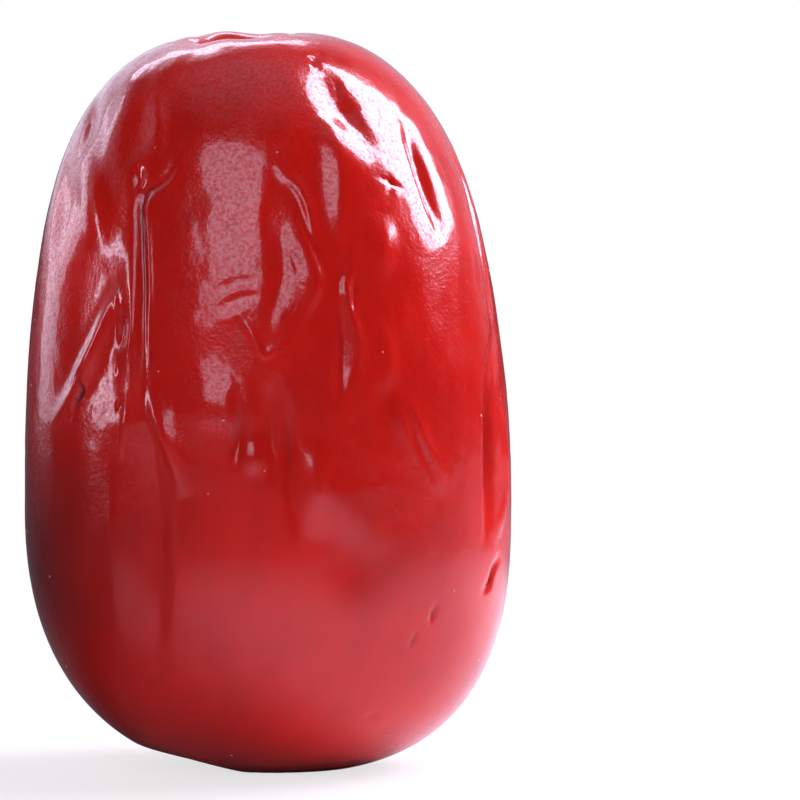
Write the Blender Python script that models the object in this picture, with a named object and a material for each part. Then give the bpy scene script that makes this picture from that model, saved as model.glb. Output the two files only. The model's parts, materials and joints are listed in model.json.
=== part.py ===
"""Dried jujube, standing upright on the small flat spot of its base.

The fruit is one solid. A sphere of even quads is drawn out to the round form of the fruit: a
barrel whose outline is a superellipse, fuller on one side than on the other. The stem cavity
and every fold of the dried skin are then pressed into that form along its own normals, and the
base is levelled where the fruit rests.

Metres, +Z up. -Y is the front of the fruit. The origin is the middle of the base.
"""

import math
import random
from collections import namedtuple

import bmesh
import bpy
import numpy as np

MM = 0.001

# Round form
GIRTH_HEIGHT = 17.8 * MM      # height of the widest part above the base
HALF_WIDTH = 16.4 * MM
HALF_DEPTH = 15.7 * MM
RISE = 32.05 * MM             # from the girth to the crown, before the cavity is sunk
DROP = 18.25 * MM             # from the girth to the lowest point, before the base is levelled
UPPER_POWER = 2.69            # superellipse power of the outline above the girth
UPPER_SKEW = 0.22             # added to that power on the left, taken off on the right
LOWER_POWER = 2.53
LOWER_SKEW = 0.17

# Broad unevenness of the fruit
LOBES = 3
LOBE_HEIGHT = 0.22 * MM
LOBE_TURN = math.pi / 2.0     # turns the lobes so that neither side of the outline moves
FLUTES = 11                   # shallow upright waves on the hidden side
FLUTE_DEPTH = 0.28 * MM
FLUTE_SWAY = 1.4              # radians by which a flute wanders on its way up
WAIST_HEIGHT = 32.0 * MM      # the flanks are drawn in a little at this height
WAIST_REACH = 7.0 * MM
WAIST_RIGHT = 0.32 * MM
WAIST_LEFT = 0.16 * MM

# Stem cavity and base
CAVITY_CENTRE = -2.0 * MM     # to the left of the axis
CAVITY_DEPTH = 2.3 * MM
CAVITY_RADIUS = 2.4 * MM
SHOULDER_DEPTH = 0.45 * MM    # wide shallow sink round the cavity
SHOULDER_RADIUS = 6.0 * MM
FAR_RIM_LIFT = 0.50 * MM      # the rim stands highest at the back left
FAR_RIM_PLACE = (-3.6 * MM, 4.4 * MM)
FAR_RIM_RADIUS = 3.2 * MM
RIM_PUCKERS = 9
RIM_PUCKER_DEPTH = 0.07 * MM
SCAR_HEIGHT = 0.5 * MM        # corky knob where the stalk sat
SCAR_RADIUS = 1.2 * MM
DIMPLE_PLACE = (-0.6 * MM, 0.6 * MM)
DIMPLE_DEPTH = 0.9 * MM
DIMPLE_RADIUS = 1.5 * MM
HEEL_LIFT = 0.55 * MM         # the base curls up at the front left
HEEL_PLACE = (-4.8 * MM, -2.4 * MM)
HEEL_RADIUS = 4.4 * MM
CALM_BASE = 4.0 * MM          # folds fade out below this height

# The front folds are drawn as they are seen by an eye this far off and this much above level
EYE_DISTANCE = 450.0 * MM
EYE_ANGLE = math.radians(3.5)
EYE_ACROSS = 8.9 * MM
EYE_HEIGHT = 24.7 * MM

GRID = 30                     # quads along each edge of the starting cube
ROUTE_STEPS = 5               # straight pieces between two points of a route
FINEST_FOLD = 1.0 * MM        # a narrower fold is made wider and shallower, as quads allow

# A fold: depth is how far it is pressed in, or raised where negative. Left and right are how far
# it reaches to either side of its line. Its route runs downwards, across from the axis and up
# from the base as the eye sees it. All are millimetres.
Fold = namedtuple("Fold", "depth left right route")

SHOULDER_FOLDS = (
    Fold(0.15, 1.30, 1.30, ((-5.1, 49.4), (-4.6, 48.8), (-4.3, 47.6))),
    Fold(0.32, 0.60, 1.10, ((-11.3, 46.0), (-11.8, 44.2), (-12.1, 42.5), (-12.7, 40.3))),
    Fold(-0.40, 1.00, 1.30, ((-8.9, 47.2), (-9.6, 44.9), (-10.3, 42.6), (-11.1, 39.8))),
    Fold(-0.16, 0.80, 0.50, ((-7.6, 45.4), (-7.4, 43.0), (-7.6, 40.3))),
    Fold(0.62, 0.50, 1.60, (
        (-13.4, 42.3), (-14.0, 39.6), (-14.4, 37.3), (-14.4, 34.8), (-14.3, 32.4))),
    Fold(-0.34, 1.30, 0.80, ((-12.7, 42.9), (-12.0, 39.5), (-11.5, 36.8), (-10.8, 33.6))),
    Fold(0.42, 1.35, 0.90, ((3.0, 47.9), (3.8, 46.3), (4.9, 44.4), (5.9, 42.5), (7.2, 40.2))),
    Fold(0.42, 0.40, 0.60, ((9.2, 44.1), (9.9, 41.8), (10.5, 39.6), (11.3, 37.5), (12.3, 34.8))),
)

LEFT_FOLDS = (
    Fold(0.36, 0.40, 0.32, (
        (-6.1, 41.7), (-6.5, 40.3), (-7.2, 39.4), (-8.1, 38.8), (-8.6, 37.8), (-8.6, 35.5),
        (-8.5, 32.1), (-8.5, 29.4), (-8.4, 26.6), (-8.3, 23.3))),
    Fold(-0.50, 1.10, 0.45, ((-9.7, 34.0), (-9.5, 32.5), (-9.2, 30.6))),
    Fold(-0.60, 1.30, 0.50, ((-9.4, 29.1), (-9.4, 26.7), (-9.5, 24.7), (-9.7, 21.4))),
    Fold(-0.55, 1.30, 0.60, (
        (-10.1, 32.6), (-10.9, 30.5), (-11.6, 28.4), (-12.3, 26.6), (-12.8, 24.7), (-13.8, 22.0))),
    Fold(0.55, 1.20, 1.80, ((-14.0, 34.4), (-14.4, 31.4), (-14.7, 28.7), (-15.2, 25.5))),
    Fold(0.40, 0.80, 1.20, ((-14.8, 27.0), (-15.2, 24.9), (-15.8, 22.6))),
    Fold(-0.52, 0.55, 1.00, ((-8.0, 25.5), (-7.3, 23.3), (-6.6, 21.3), (-5.5, 17.6))),
    Fold(0.40, 0.60, 0.70, ((-7.4, 20.1), (-7.4, 16.6), (-7.4, 11.8), (-7.2, 6.4))),
    Fold(-0.22, 0.90, 0.90, ((-9.0, 19.9), (-8.9, 15.9), (-8.6, 11.8), (-8.1, 7.1))),
    Fold(0.25, 0.80, 0.80, ((-10.5, 21.3), (-10.5, 16.6), (-10.1, 11.8), (-9.4, 7.8))),
)

MIDDLE_FOLDS = (
    Fold(-0.10, 1.20, 0.45, (
        (-0.3, 43.2), (-0.2, 39.5), (-0.6, 37.3), (-0.5, 35.5), (-0.3, 32.5), (-0.4, 29.4))),
    Fold(0.12, 0.35, 0.35, ((-5.3, 39.2), (-4.2, 39.1), (-2.8, 38.8))),
    Fold(0.14, 0.45, 0.60, ((-3.1, 37.2), (-2.5, 36.3), (-2.2, 35.2))),
    Fold(0.10, 0.50, 0.50, ((-2.6, 35.2), (-2.8, 34.0), (-2.7, 32.5))),
    Fold(-0.34, 1.30, 0.50, (
        (1.2, 38.8), (1.8, 36.9), (2.4, 35.1), (3.1, 33.3), (3.2, 32.1), (2.4, 30.6),
        (1.6, 27.9))),
    Fold(0.16, 0.50, 0.45, ((1.5, 35.3), (1.9, 34.1), (2.2, 32.8))),
    Fold(0.14, 0.35, 0.35, ((1.6, 32.1), (1.2, 31.1), (1.0, 29.9))),
    Fold(0.14, 0.50, 0.40, (
        (1.1, 37.3), (0.9, 35.5), (1.0, 33.4), (0.5, 31.5), (0.1, 29.9), (0.3, 28.2))),
    Fold(-0.20, 0.30, 0.70, (
        (-0.1, 41.1), (1.0, 39.8), (1.9, 39.0), (2.5, 37.8), (2.9, 36.3), (3.4, 35.1),
        (4.6, 33.0))),
    Fold(-0.60, 1.10, 4.00, ((3.9, 44.1), (4.5, 42.2), (4.9, 39.6), (5.0, 36.4), (4.7, 33.6))),
    Fold(-0.16, 0.35, 0.50, (
        (6.3, 36.3), (5.5, 33.4), (5.2, 32.1), (5.7, 29.9), (6.1, 28.0), (5.8, 24.9))),
    Fold(-0.30, 1.10, 0.90, ((7.4, 37.3), (7.6, 34.8), (7.4, 32.0))),
    Fold(-0.26, 1.00, 0.90, ((7.7, 30.3), (8.0, 27.4), (8.0, 24.0))),
    Fold(-0.30, 0.50, 2.20, ((-5.7, 24.1), (-3.9, 23.9), (-2.0, 24.1))),
    Fold(-0.26, 0.40, 1.10, ((-2.7, 20.7), (-0.9, 20.5), (0.9, 20.9))),
    Fold(-0.42, 0.90, 0.90, ((4.2, 23.0), (3.6, 19.9), (3.2, 15.8))),
    Fold(0.30, 0.60, 0.60, ((0.5, 26.6), (0.1, 23.3), (0.4, 18.9))),
    Fold(-0.34, 0.80, 0.90, ((8.0, 26.3), (9.6, 22.6), (12.0, 18.0))),
    Fold(0.32, 2.20, 2.20, ((5.7, 17.9), (5.9, 13.9), (6.1, 9.8))),
    Fold(-0.26, 1.40, 1.40, ((3.2, 19.9), (4.9, 17.6), (7.8, 13.9))),
)

RIGHT_FOLDS = (
    Fold(0.40, 0.35, 0.50, (
        (11.7, 43.7), (12.6, 41.0), (13.4, 39.1), (13.9, 37.3), (14.5, 34.9), (15.0, 32.0),
        (15.2, 28.0))),
    Fold(0.50, 0.45, 0.80, (
        (15.4, 30.2), (14.8, 26.6), (14.7, 23.3), (14.7, 19.9), (14.7, 17.6), (14.4, 14.4))),
    Fold(-0.25, 0.80, 0.50, ((15.7, 25.3), (15.9, 21.3), (15.9, 17.9), (15.0, 14.9))),
    Fold(0.30, 0.25, 0.25, ((15.6, 14.4), (15.1, 13.3), (14.8, 12.2), (14.2, 11.7))),
)

# Furrows of the hidden side, from the right edge round the back to the left edge
BACK_SEED = 17
BACK_FROM = 8.0               # degrees round from +X
BACK_TO = 172.0
BACK_FURROWS = 12
BACK_TOP = (34.0, 45.0)       # millimetres above the base
BACK_LENGTH = (12.0, 28.0)
BACK_WANDER = 3.2             # degrees sideways between two points
BACK_DEPTH = (0.5, 1.05)
BACK_WIDTH = (1.2, 1.8)
BRANCH_LENGTH = (3.0, 7.0)
BRANCH_LEAN = (5.0, 11.0)     # degrees sideways that a branch runs off

SKIN_COLOUR = (0.42, 0.010, 0.006, 1.0)
SKIN_ROUGHNESS = 0.24


def outline_power(azimuth, above):
    """Superellipse power of the outline at an azimuth, above or below the girth."""
    side = np.cos(azimuth)
    return np.where(above, UPPER_POWER - UPPER_SKEW * side, LOWER_POWER + LOWER_SKEW * side)


def outline_point(azimuth, slope):
    """Radius and height of the outline in the direction that rises by slope from its centre."""
    above = slope > 0.0
    power = outline_power(azimuth, above)
    reach = np.where(above, RISE, DROP)
    flat, steep = np.abs(np.cos(slope)) / HALF_WIDTH, np.abs(np.sin(slope)) / reach
    length = (flat ** power + steep ** power) ** (-1.0 / power)
    return length * np.cos(slope), GIRTH_HEIGHT + length * np.sin(slope)


def turned(radius, azimuth, height):
    """Point at a radius of the round form, which is a little shallower than it is wide."""
    depth = HALF_DEPTH / HALF_WIDTH
    return np.stack(
        (radius * np.cos(azimuth), depth * radius * np.sin(azimuth), height), axis=-1)


def point_at(azimuth, height):
    """Point of the round form at an azimuth and a height."""
    rise = height - GIRTH_HEIGHT
    above = rise > 0.0
    power = outline_power(azimuth, above)
    share = np.clip(np.abs(rise) / np.where(above, RISE, DROP), 0.0, 1.0)
    radius = HALF_WIDTH * (1.0 - share ** power) ** (1.0 / power)
    return turned(radius, azimuth, height)


def point_seen_at(across, up):
    """Point of the front of the round form that the eye sees across and up from the origin."""
    x, y, z = across, -HALF_DEPTH, up
    for _ in range(12):
        nearness = 1.0 + y / EYE_DISTANCE
        x = EYE_ACROSS + (across - EYE_ACROSS) * nearness
        lift = EYE_HEIGHT + (up - EYE_HEIGHT) * nearness
        z = (lift - y * math.sin(EYE_ANGLE)) / math.cos(EYE_ANGLE)
        z = min(z, GIRTH_HEIGHT + RISE * 0.995)
        radius = abs(float(point_at(0.0 if x > 0.0 else math.pi, z)[0]))
        azimuth = -math.acos(max(-1.0, min(1.0, x / radius)))
        y = float(point_at(azimuth, z)[1])
    return point_at(azimuth, z)


def smooth_route(points):
    """Curve through the points of a route, each stretch in ROUTE_STEPS straight pieces."""
    points = [np.asarray(p, float) for p in points]
    padded = [2 * points[0] - points[1], *points, 2 * points[-1] - points[-2]]
    curve = []
    for a, b, c, d in zip(padded, padded[1:], padded[2:], padded[3:]):
        for step in range(ROUTE_STEPS):
            t = step / ROUTE_STEPS
            curve.append(0.5 * (2 * b + (c - a) * t + (2 * a - 5 * b + 4 * c - d) * t ** 2
                                + (3 * b - a - 3 * c + d) * t ** 3))
    return np.array(curve + [points[-1]])


def front_folds():
    """Each fold that is drawn on the front, with its route in space."""
    for fold in SHOULDER_FOLDS + LEFT_FOLDS + MIDDLE_FOLDS + RIGHT_FOLDS:
        points = [point_seen_at(x * MM, z * MM) for x, z in fold.route]
        yield fold, smooth_route(points)


def back_folds():
    """Furrows and branches of the hidden side, set out by a seeded rule."""
    draw = random.Random(BACK_SEED)
    pitch = (BACK_TO - BACK_FROM) / BACK_FURROWS
    for number in range(BACK_FURROWS):
        azimuth = BACK_FROM + (number + draw.uniform(0.2, 0.8)) * pitch
        top, length = draw.uniform(*BACK_TOP), draw.uniform(*BACK_LENGTH)
        route = []
        for share in (0.0, 0.25, 0.5, 0.75, 1.0):
            azimuth += draw.uniform(-BACK_WANDER, BACK_WANDER)
            route.append((azimuth, top - share * length))
        depth, width = draw.uniform(*BACK_DEPTH), draw.uniform(*BACK_WIDTH)
        yield Fold(depth, width, width, None), back_route(route)

        lean = draw.choice((-1.0, 1.0)) * draw.uniform(*BRANCH_LEAN)
        fork, fall = draw.choice(route[1:4]), draw.uniform(*BRANCH_LENGTH)
        branch = [fork, (fork[0] + 0.6 * lean, fork[1] - 0.5 * fall),
                  (fork[0] + lean, fork[1] - fall)]
        yield Fold(0.7 * depth, 0.8 * width, 0.8 * width, None), back_route(branch)


def back_route(route):
    """Curve in space through azimuths in degrees and heights in millimetres."""
    return smooth_route([point_at(math.radians(a), h * MM) for a, h in route])


def nearest_on_route(points, normals, route):
    """Distance of each point to a route, signed by side, and how far along it lies."""
    best = np.full(len(points), np.inf)
    side = np.zeros(len(points))
    along = np.zeros(len(points))
    pieces = len(route) - 1
    for number, (start, end) in enumerate(zip(route, route[1:])):
        step = end - start
        share = np.clip((points - start) @ step / (step @ step), 0.0, 1.0)
        gap = points - start - share[:, None] * step
        distance = np.linalg.norm(gap, axis=1)
        closer = distance < best
        best[closer] = distance[closer]
        right = np.cross(normals[closer], step)
        side[closer] = np.sign(np.einsum("ij,ij->i", gap[closer], right))
        along[closer] = (number + share[closer]) / pieces
    return best * side, along


def fold_relief(points, normals):
    """How far the skin is pushed out at each point by all the folds together."""
    relief = np.zeros(len(points))
    for fold, route in (*front_folds(), *back_folds()):
        left, right = max(fold.left * MM, FINEST_FOLD), max(fold.right * MM, FINEST_FOLD)
        depth = fold.depth * MM * (fold.left + fold.right) * MM / (left + right)
        reach = 3.0 * max(left, right)
        near = np.all((points > route.min(axis=0) - reach)
                      & (points < route.max(axis=0) + reach), axis=1)
        distance, along = nearest_on_route(points[near], normals[near], route)
        width = np.where(distance < 0.0, left, right)
        section = np.exp(-(distance / width) ** 2) * np.sin(np.pi * along) ** 1.2
        relief[near] -= depth * section
    return relief


def broad_relief(points):
    """Lobes all round, shallow flutes on the hidden side and the slightly drawn-in flanks."""
    azimuth = np.arctan2(points[:, 1], points[:, 0])
    rise = points[:, 2] / (GIRTH_HEIGHT + RISE)
    middle = np.sin(np.pi * np.clip(rise, 0.0, 1.0))
    lobes = LOBE_HEIGHT * middle * np.cos(LOBES * azimuth + LOBE_TURN)
    hidden = np.clip(np.sin(azimuth), 0.0, 1.0)
    waves = np.sin(FLUTES * azimuth + FLUTE_SWAY * np.sin(2.0 * np.pi * rise))
    flutes = FLUTE_DEPTH * hidden * middle * np.clip(2.0 * rise, 0.0, 1.0) * waves
    side = np.cos(azimuth)
    waist = np.where(side > 0.0, WAIST_RIGHT, WAIST_LEFT) * side ** 2
    return lobes + flutes - waist * bell(points[:, 2] - WAIST_HEIGHT, WAIST_REACH)


def bell(distance, radius):
    """Soft round falloff, 1 in the middle and near 0 beyond twice the radius."""
    return np.exp(-(distance / radius) ** 2)


def mound(points, place, radius):
    """Round mound on the plan, 1 in the middle and exactly 0 from the radius outwards."""
    distance = np.hypot(points[:, 0] - place[0], points[:, 1] - place[1])
    return np.clip(1.0 - (distance / radius) ** 2, 0.0, 1.0)


def sink_cavity(points):
    """Lower the crown into the stem cavity, with its uneven rim and the scar in it."""
    x, y = points[:, 0] - CAVITY_CENTRE, points[:, 1]
    distance, turn = np.hypot(x, y), np.arctan2(y, x)
    top = points[:, 2] > GIRTH_HEIGHT
    puckers = np.cos(RIM_PUCKERS * turn + 1.3 * np.sin(2.0 * turn))
    ring = bell(distance - 1.7 * CAVITY_RADIUS, 0.6 * CAVITY_RADIUS)
    far_rim = np.hypot(points[:, 0] - FAR_RIM_PLACE[0], y - FAR_RIM_PLACE[1])
    sink = (CAVITY_DEPTH * bell(distance, CAVITY_RADIUS)
            + SHOULDER_DEPTH * bell(distance, SHOULDER_RADIUS)
            + RIM_PUCKER_DEPTH * ring * puckers
            - FAR_RIM_LIFT * bell(far_rim, FAR_RIM_RADIUS)
            - SCAR_HEIGHT * bell(distance, SCAR_RADIUS))
    points[:, 2] -= np.where(top, sink, 0.0)


def level_base(points):
    """Level the spot that the fruit rests on, with the raised heel and the style dimple."""
    under = points[:, 2] < GIRTH_HEIGHT
    points[:, 2] = np.maximum(points[:, 2], 0.0)
    lift = (HEEL_LIFT * mound(points, HEEL_PLACE, HEEL_RADIUS) ** 2
            + DIMPLE_DEPTH * mound(points, DIMPLE_PLACE, DIMPLE_RADIUS))
    points[:, 2] += np.where(under, lift, 0.0)


def quad_sphere():
    """Sphere of even quads: a gridded cube, its grid bent to equal angles and blown round."""
    mesh = bmesh.new()
    bmesh.ops.create_cube(mesh, size=2.0)
    bmesh.ops.subdivide_edges(mesh, edges=mesh.edges[:], cuts=GRID - 1, use_grid_fill=True)
    for vert in mesh.verts:
        vert.co = [math.tan(c * math.pi / 4.0) for c in vert.co]
        vert.co.normalize()
    return mesh


def even_slopes(latitude):
    """Slopes at which rows of equal latitude steps lie evenly along the outline."""
    slopes = np.linspace(-math.pi / 2.0, math.pi / 2.0, 721)
    radius, height = outline_point(math.pi / 2.0, slopes)
    length = np.concatenate(
        ((0.0,), np.cumsum(np.hypot(np.diff(radius), np.diff(height)))))
    return np.interp((latitude / math.pi + 0.5) * length[-1], length, slopes)


def vertex_array(mesh, attribute):
    """Positions or normals of a mesh's vertices as an array."""
    return np.array([tuple(getattr(vert, attribute)) for vert in mesh.verts])


def move_vertices(mesh, points):
    """Put the vertices at the given points and renew the normals."""
    for vert, point in zip(mesh.verts, points):
        vert.co = point
    mesh.normal_update()


def skin_material():
    """Glossy deep red skin of the dried fruit."""
    material = bpy.data.materials.new("jujube_skin")
    material.use_nodes = True
    shader = material.node_tree.nodes["Principled BSDF"]
    shader.inputs["Base Color"].default_value = SKIN_COLOUR
    shader.inputs["Roughness"].default_value = SKIN_ROUGHNESS
    shader.inputs["Metallic"].default_value = 0.0
    return material


def make_fruit(collection):
    """The whole fruit as one closed solid."""
    mesh = quad_sphere()
    direction = vertex_array(mesh, "co")
    azimuth = np.arctan2(direction[:, 1], direction[:, 0])
    slope = even_slopes(np.arcsin(np.clip(direction[:, 2], -1.0, 1.0)))
    radius, height = outline_point(azimuth, slope)
    move_vertices(mesh, turned(radius, azimuth, height))

    points, normals = vertex_array(mesh, "co"), vertex_array(mesh, "normal")
    calm = np.clip(points[:, 2] / CALM_BASE, 0.0, 1.0)
    relief = calm * fold_relief(points, normals) + broad_relief(points)
    points += relief[:, None] * normals
    sink_cavity(points)
    level_base(points)
    move_vertices(mesh, points)

    data = bpy.data.meshes.new("fruit")
    mesh.to_mesh(data)
    mesh.free()
    data.shade_smooth()
    data.materials.append(skin_material())
    collection.objects.link(bpy.data.objects.new("fruit", data))


def main():
    for old in list(bpy.data.objects):
        bpy.data.objects.remove(old, do_unlink=True)
    collection = bpy.data.collections.new("jujube")
    bpy.context.scene.collection.children.link(collection)
    make_fruit(collection)


main()
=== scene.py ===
"""Dried jujube: the looks of the fruit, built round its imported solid.

The skin is a fine mesh on the same round form as the solid. It has the solid's folds, drawn
finer, and smaller ones between them. Corky pieces lie on it: the stem scar, the style point and
the flecks. Metres, +Z up, -Y is the front of the fruit.
"""

import json
import math
import random
from collections import namedtuple

import bmesh
import bpy
import numpy as np
from mathutils import Euler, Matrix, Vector
from mathutils.bvhtree import BVHTree
from mathutils.noise import noise as noise_at

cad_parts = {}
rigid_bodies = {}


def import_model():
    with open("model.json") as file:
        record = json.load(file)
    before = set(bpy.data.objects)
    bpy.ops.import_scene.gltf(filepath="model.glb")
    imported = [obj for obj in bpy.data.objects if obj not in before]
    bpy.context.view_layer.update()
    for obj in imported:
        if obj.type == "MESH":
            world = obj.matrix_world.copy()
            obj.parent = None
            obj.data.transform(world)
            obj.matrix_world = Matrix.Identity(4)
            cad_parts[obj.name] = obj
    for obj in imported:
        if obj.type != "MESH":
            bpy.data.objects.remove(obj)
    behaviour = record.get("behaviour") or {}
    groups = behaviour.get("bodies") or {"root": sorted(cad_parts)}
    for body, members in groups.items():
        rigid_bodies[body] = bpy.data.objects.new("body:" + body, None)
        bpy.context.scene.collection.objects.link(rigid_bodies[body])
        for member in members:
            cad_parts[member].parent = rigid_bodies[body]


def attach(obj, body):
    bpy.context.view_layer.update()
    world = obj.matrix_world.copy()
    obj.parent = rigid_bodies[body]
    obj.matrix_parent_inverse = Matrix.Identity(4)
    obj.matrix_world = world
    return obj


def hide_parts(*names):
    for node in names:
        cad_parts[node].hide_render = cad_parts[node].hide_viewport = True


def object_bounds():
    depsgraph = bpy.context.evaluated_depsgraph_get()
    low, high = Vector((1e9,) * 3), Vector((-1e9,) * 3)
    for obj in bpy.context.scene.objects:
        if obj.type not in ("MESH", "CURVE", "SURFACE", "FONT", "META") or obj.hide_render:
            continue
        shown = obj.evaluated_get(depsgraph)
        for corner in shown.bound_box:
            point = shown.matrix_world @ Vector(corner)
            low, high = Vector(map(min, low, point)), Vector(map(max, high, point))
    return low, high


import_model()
CAD_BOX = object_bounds()

bl_info = {
    "name": "Dried jujube",
    "version": (1, 0, 0),
    "blender": (4, 5, 0),
    "location": "3D Viewport > Sidebar > Jujube",
    "description": "Builds a glossy dried jujube with its folded skin, stem scar and studio",
    "category": "Object",
}

MM = 0.001
NODE = "fruit"
BODY = "root"

# Round form, as in the solid
GIRTH_HEIGHT = 17.8 * MM
HALF_WIDTH = 16.4 * MM
HALF_DEPTH = 15.7 * MM
RISE = 32.05 * MM
DROP = 18.25 * MM
UPPER_POWER = 2.69
UPPER_SKEW = 0.22
LOWER_POWER = 2.53
LOWER_SKEW = 0.17

# Broad unevenness
LOBES = 3
LOBE_HEIGHT = 0.22 * MM
LOBE_TURN = math.pi / 2.0
FLUTES = 11                   # shallow upright waves of the hidden side
FLUTE_DEPTH = 0.28 * MM
FLUTE_SWAY = 1.4              # radians that they wander sideways
WAIST_HEIGHT = 32.0 * MM      # the flanks are drawn in a little at this height
WAIST_REACH = 7.0 * MM
WAIST_RIGHT = 0.32 * MM
WAIST_LEFT = 0.16 * MM

# Stem cavity, left of the axis, and base
CAVITY_CENTRE = -2.0 * MM
CAVITY_DEPTH = 2.3 * MM
CAVITY_RADIUS = 2.4 * MM
SHOULDER_DEPTH = 0.45 * MM
SHOULDER_RADIUS = 6.0 * MM
FAR_RIM_LIFT = 0.50 * MM
FAR_RIM_PLACE = (-3.6 * MM, 4.4 * MM)
FAR_RIM_RADIUS = 3.2 * MM
RIM_PUCKERS = 9
RIM_PUCKER_DEPTH = 0.07 * MM
RIM_PUCKER_SWAY = 1.3         # radians that the puckers stand uneven
DIMPLE_PLACE = (-0.6 * MM, 0.6 * MM)
DIMPLE_DEPTH = 0.9 * MM
DIMPLE_RADIUS = 1.5 * MM
HEEL_LIFT = 0.55 * MM
HEEL_PLACE = (-4.8 * MM, -2.4 * MM)
HEEL_RADIUS = 4.4 * MM
CALM_BASE = 4.0 * MM          # folds fade out below this height

# Corky scars
PATCH_GRID = 32               # quads across
PATCH_RISE = 0.12             # height of the ring, as a share of the radius
PATCH_SINK = 0.06 * MM        # how far the edge sinks into the skin
PATCH_THICKNESS = 0.10 * MM
PATCH_RING = (0.68, 0.18)     # middle and width of the ring, and width of the knob in it,
PATCH_KNOB = 0.25             # as shares of the radius
PATCH_CRUMBS = 6.0            # crumbs across one radius

# Lower part in front that stayed plump and smooth: height of its wavy upper edge, and how far
# up the wrinkles take to set in
SMOOTH_EDGE = 13.0 * MM
SMOOTH_EDGE_WAVE = 4.0 * MM
SMOOTH_FADE = 9.0 * MM
SMOOTH_SHARE = 0.25           # what is left of the wrinkles there

# Painted shade: the flank low on the left, the side away from the key light, is coloured darker
FLANK_PLACE = (-17.0 * MM, -5.0 * MM, 14.0 * MM)
FLANK_REACH = (9.5 * MM, 13.0 * MM, 12.0 * MM)
FLANK_SHARE = 0.9

# Sizes of the patterns in the materials
CLOUD_SIZE = 9.0 * MM
STREAK_SIZE = (2.2 * MM, 2.2 * MM, 11.0 * MM)
WAX_SIZE = 1.6 * MM
GRAIN_SIZE = 0.24 * MM
GRAIN_HEIGHT = 0.018 * MM
CRUMB_SIZE = 0.35 * MM
CRUMB_HEIGHT = 0.1 * MM

# The eye of the photograph, which also gives the place of the front folds
EYE_DISTANCE = 450.0 * MM
EYE_ANGLE = math.radians(3.5)
EYE_ACROSS = 8.9 * MM
EYE_HEIGHT = 24.7 * MM
FRAME_WIDTH = 54.0 * MM       # what the photograph's frame spans at the fruit
SENSOR = 36.0                 # millimetres, Blender's own unit for lenses

FRONT_CROWDING = 0.30         # how much closer the columns of quads stand at the front
ROUTE_STEPS = 6               # straight pieces between two points of a route
SIGHT_STEPS = 12              # rounds until a point that the eye sees is found on the form
FOLD_TAPER = 1.2              # power with which a fold fades towards its ends
CREASE_STEEPNESS = 2.0        # how fast a fold's painted shade deepens as its depth grows for its width,
CREASE_START = 0.5            # and how much of that leaves it still unshaded

# A fold: depth is how far it is pressed in, or raised where negative. Left and right are how far
# it reaches to either side of its line. Its route runs downwards, across from the axis and up
# from the base as the eye sees it. All are millimetres.
Fold = namedtuple("Fold", "depth left right route")

# Near rim, hollows of the left shoulder, and the dent and furrow in the bright right shoulder
SHOULDER_FOLDS = (
    Fold(0.15, 1.30, 1.30, ((-5.1, 49.4), (-4.6, 48.8), (-4.3, 47.6))),
    Fold(0.32, 0.60, 1.10, ((-11.3, 46.0), (-11.8, 44.2), (-12.1, 42.5), (-12.7, 40.3))),
    Fold(-0.30, 1.00, 1.30, ((-8.8, 47.5), (-9.5, 45.0), (-10.3, 42.3), (-11.1, 38.8))),
    Fold(-0.16, 0.80, 0.50, ((-7.6, 45.4), (-7.4, 43.0), (-7.6, 40.3))),
    Fold(0.26, 1.20, 2.20, (
        (-12.7, 43.2), (-13.5, 40.2), (-13.9, 37.3), (-14.0, 35.5), (-14.0, 33.4))),
    Fold(-0.42, 1.40, 1.00, ((-12.6, 43.0), (-11.9, 39.8), (-11.5, 37.3), (-11.1, 34.0))),
    Fold(0.40, 1.20, 0.90, ((3.1, 47.3), (3.9, 45.9), (4.9, 44.2), (5.9, 42.5), (7.0, 40.3))),
    Fold(0.40, 0.45, 0.80, ((9.0, 43.7), (9.4, 41.9), (10.1, 39.8), (10.8, 37.8), (11.7, 35.2))),
)

# Long groove, valley and ridge beside it, diagonal ridge, leaning streak and broad lower strip
LEFT_FOLDS = (
    Fold(0.36, 0.40, 0.32, (
        (-6.1, 41.7), (-6.5, 40.3), (-7.2, 39.4), (-8.1, 38.8), (-8.6, 37.8), (-8.6, 35.5),
        (-8.5, 32.1), (-8.5, 29.4), (-8.4, 26.6), (-8.3, 23.3))),
    Fold(0.24, 2.00, 1.30, (
        (-11.6, 36.7), (-11.2, 33.6), (-10.9, 30.7), (-10.9, 28.0), (-10.9, 24.7), (-11.1, 17.9))),
    Fold(-0.26, 0.90, 0.52, (
        (-9.3, 35.7), (-9.1, 32.8), (-9.0, 29.4), (-9.2, 26.0), (-9.4, 19.9))),
    Fold(0.26, 0.35, 0.35, ((-10.1, 31.1), (-9.9, 29.5), (-10.1, 27.8))),
    Fold(-0.58, 0.70, 0.70, (
        (-10.1, 32.6), (-10.8, 30.7), (-11.6, 28.4), (-12.3, 26.7), (-13.1, 24.9), (-14.7, 22.5))),
    Fold(-0.55, 0.55, 1.10, ((-8.1, 25.7), (-7.3, 23.0), (-6.5, 20.7), (-5.7, 17.9))),
    Fold(0.90, 2.40, 1.15, ((-8.5, 23.3), (-8.0, 19.9), (-7.8, 15.2), (-7.8, 10.5), (-7.4, 4.4))),
    Fold(-0.16, 0.60, 0.60, ((-10.5, 21.0), (-10.5, 16.6), (-10.3, 11.8), (-9.9, 7.8))),
)

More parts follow.
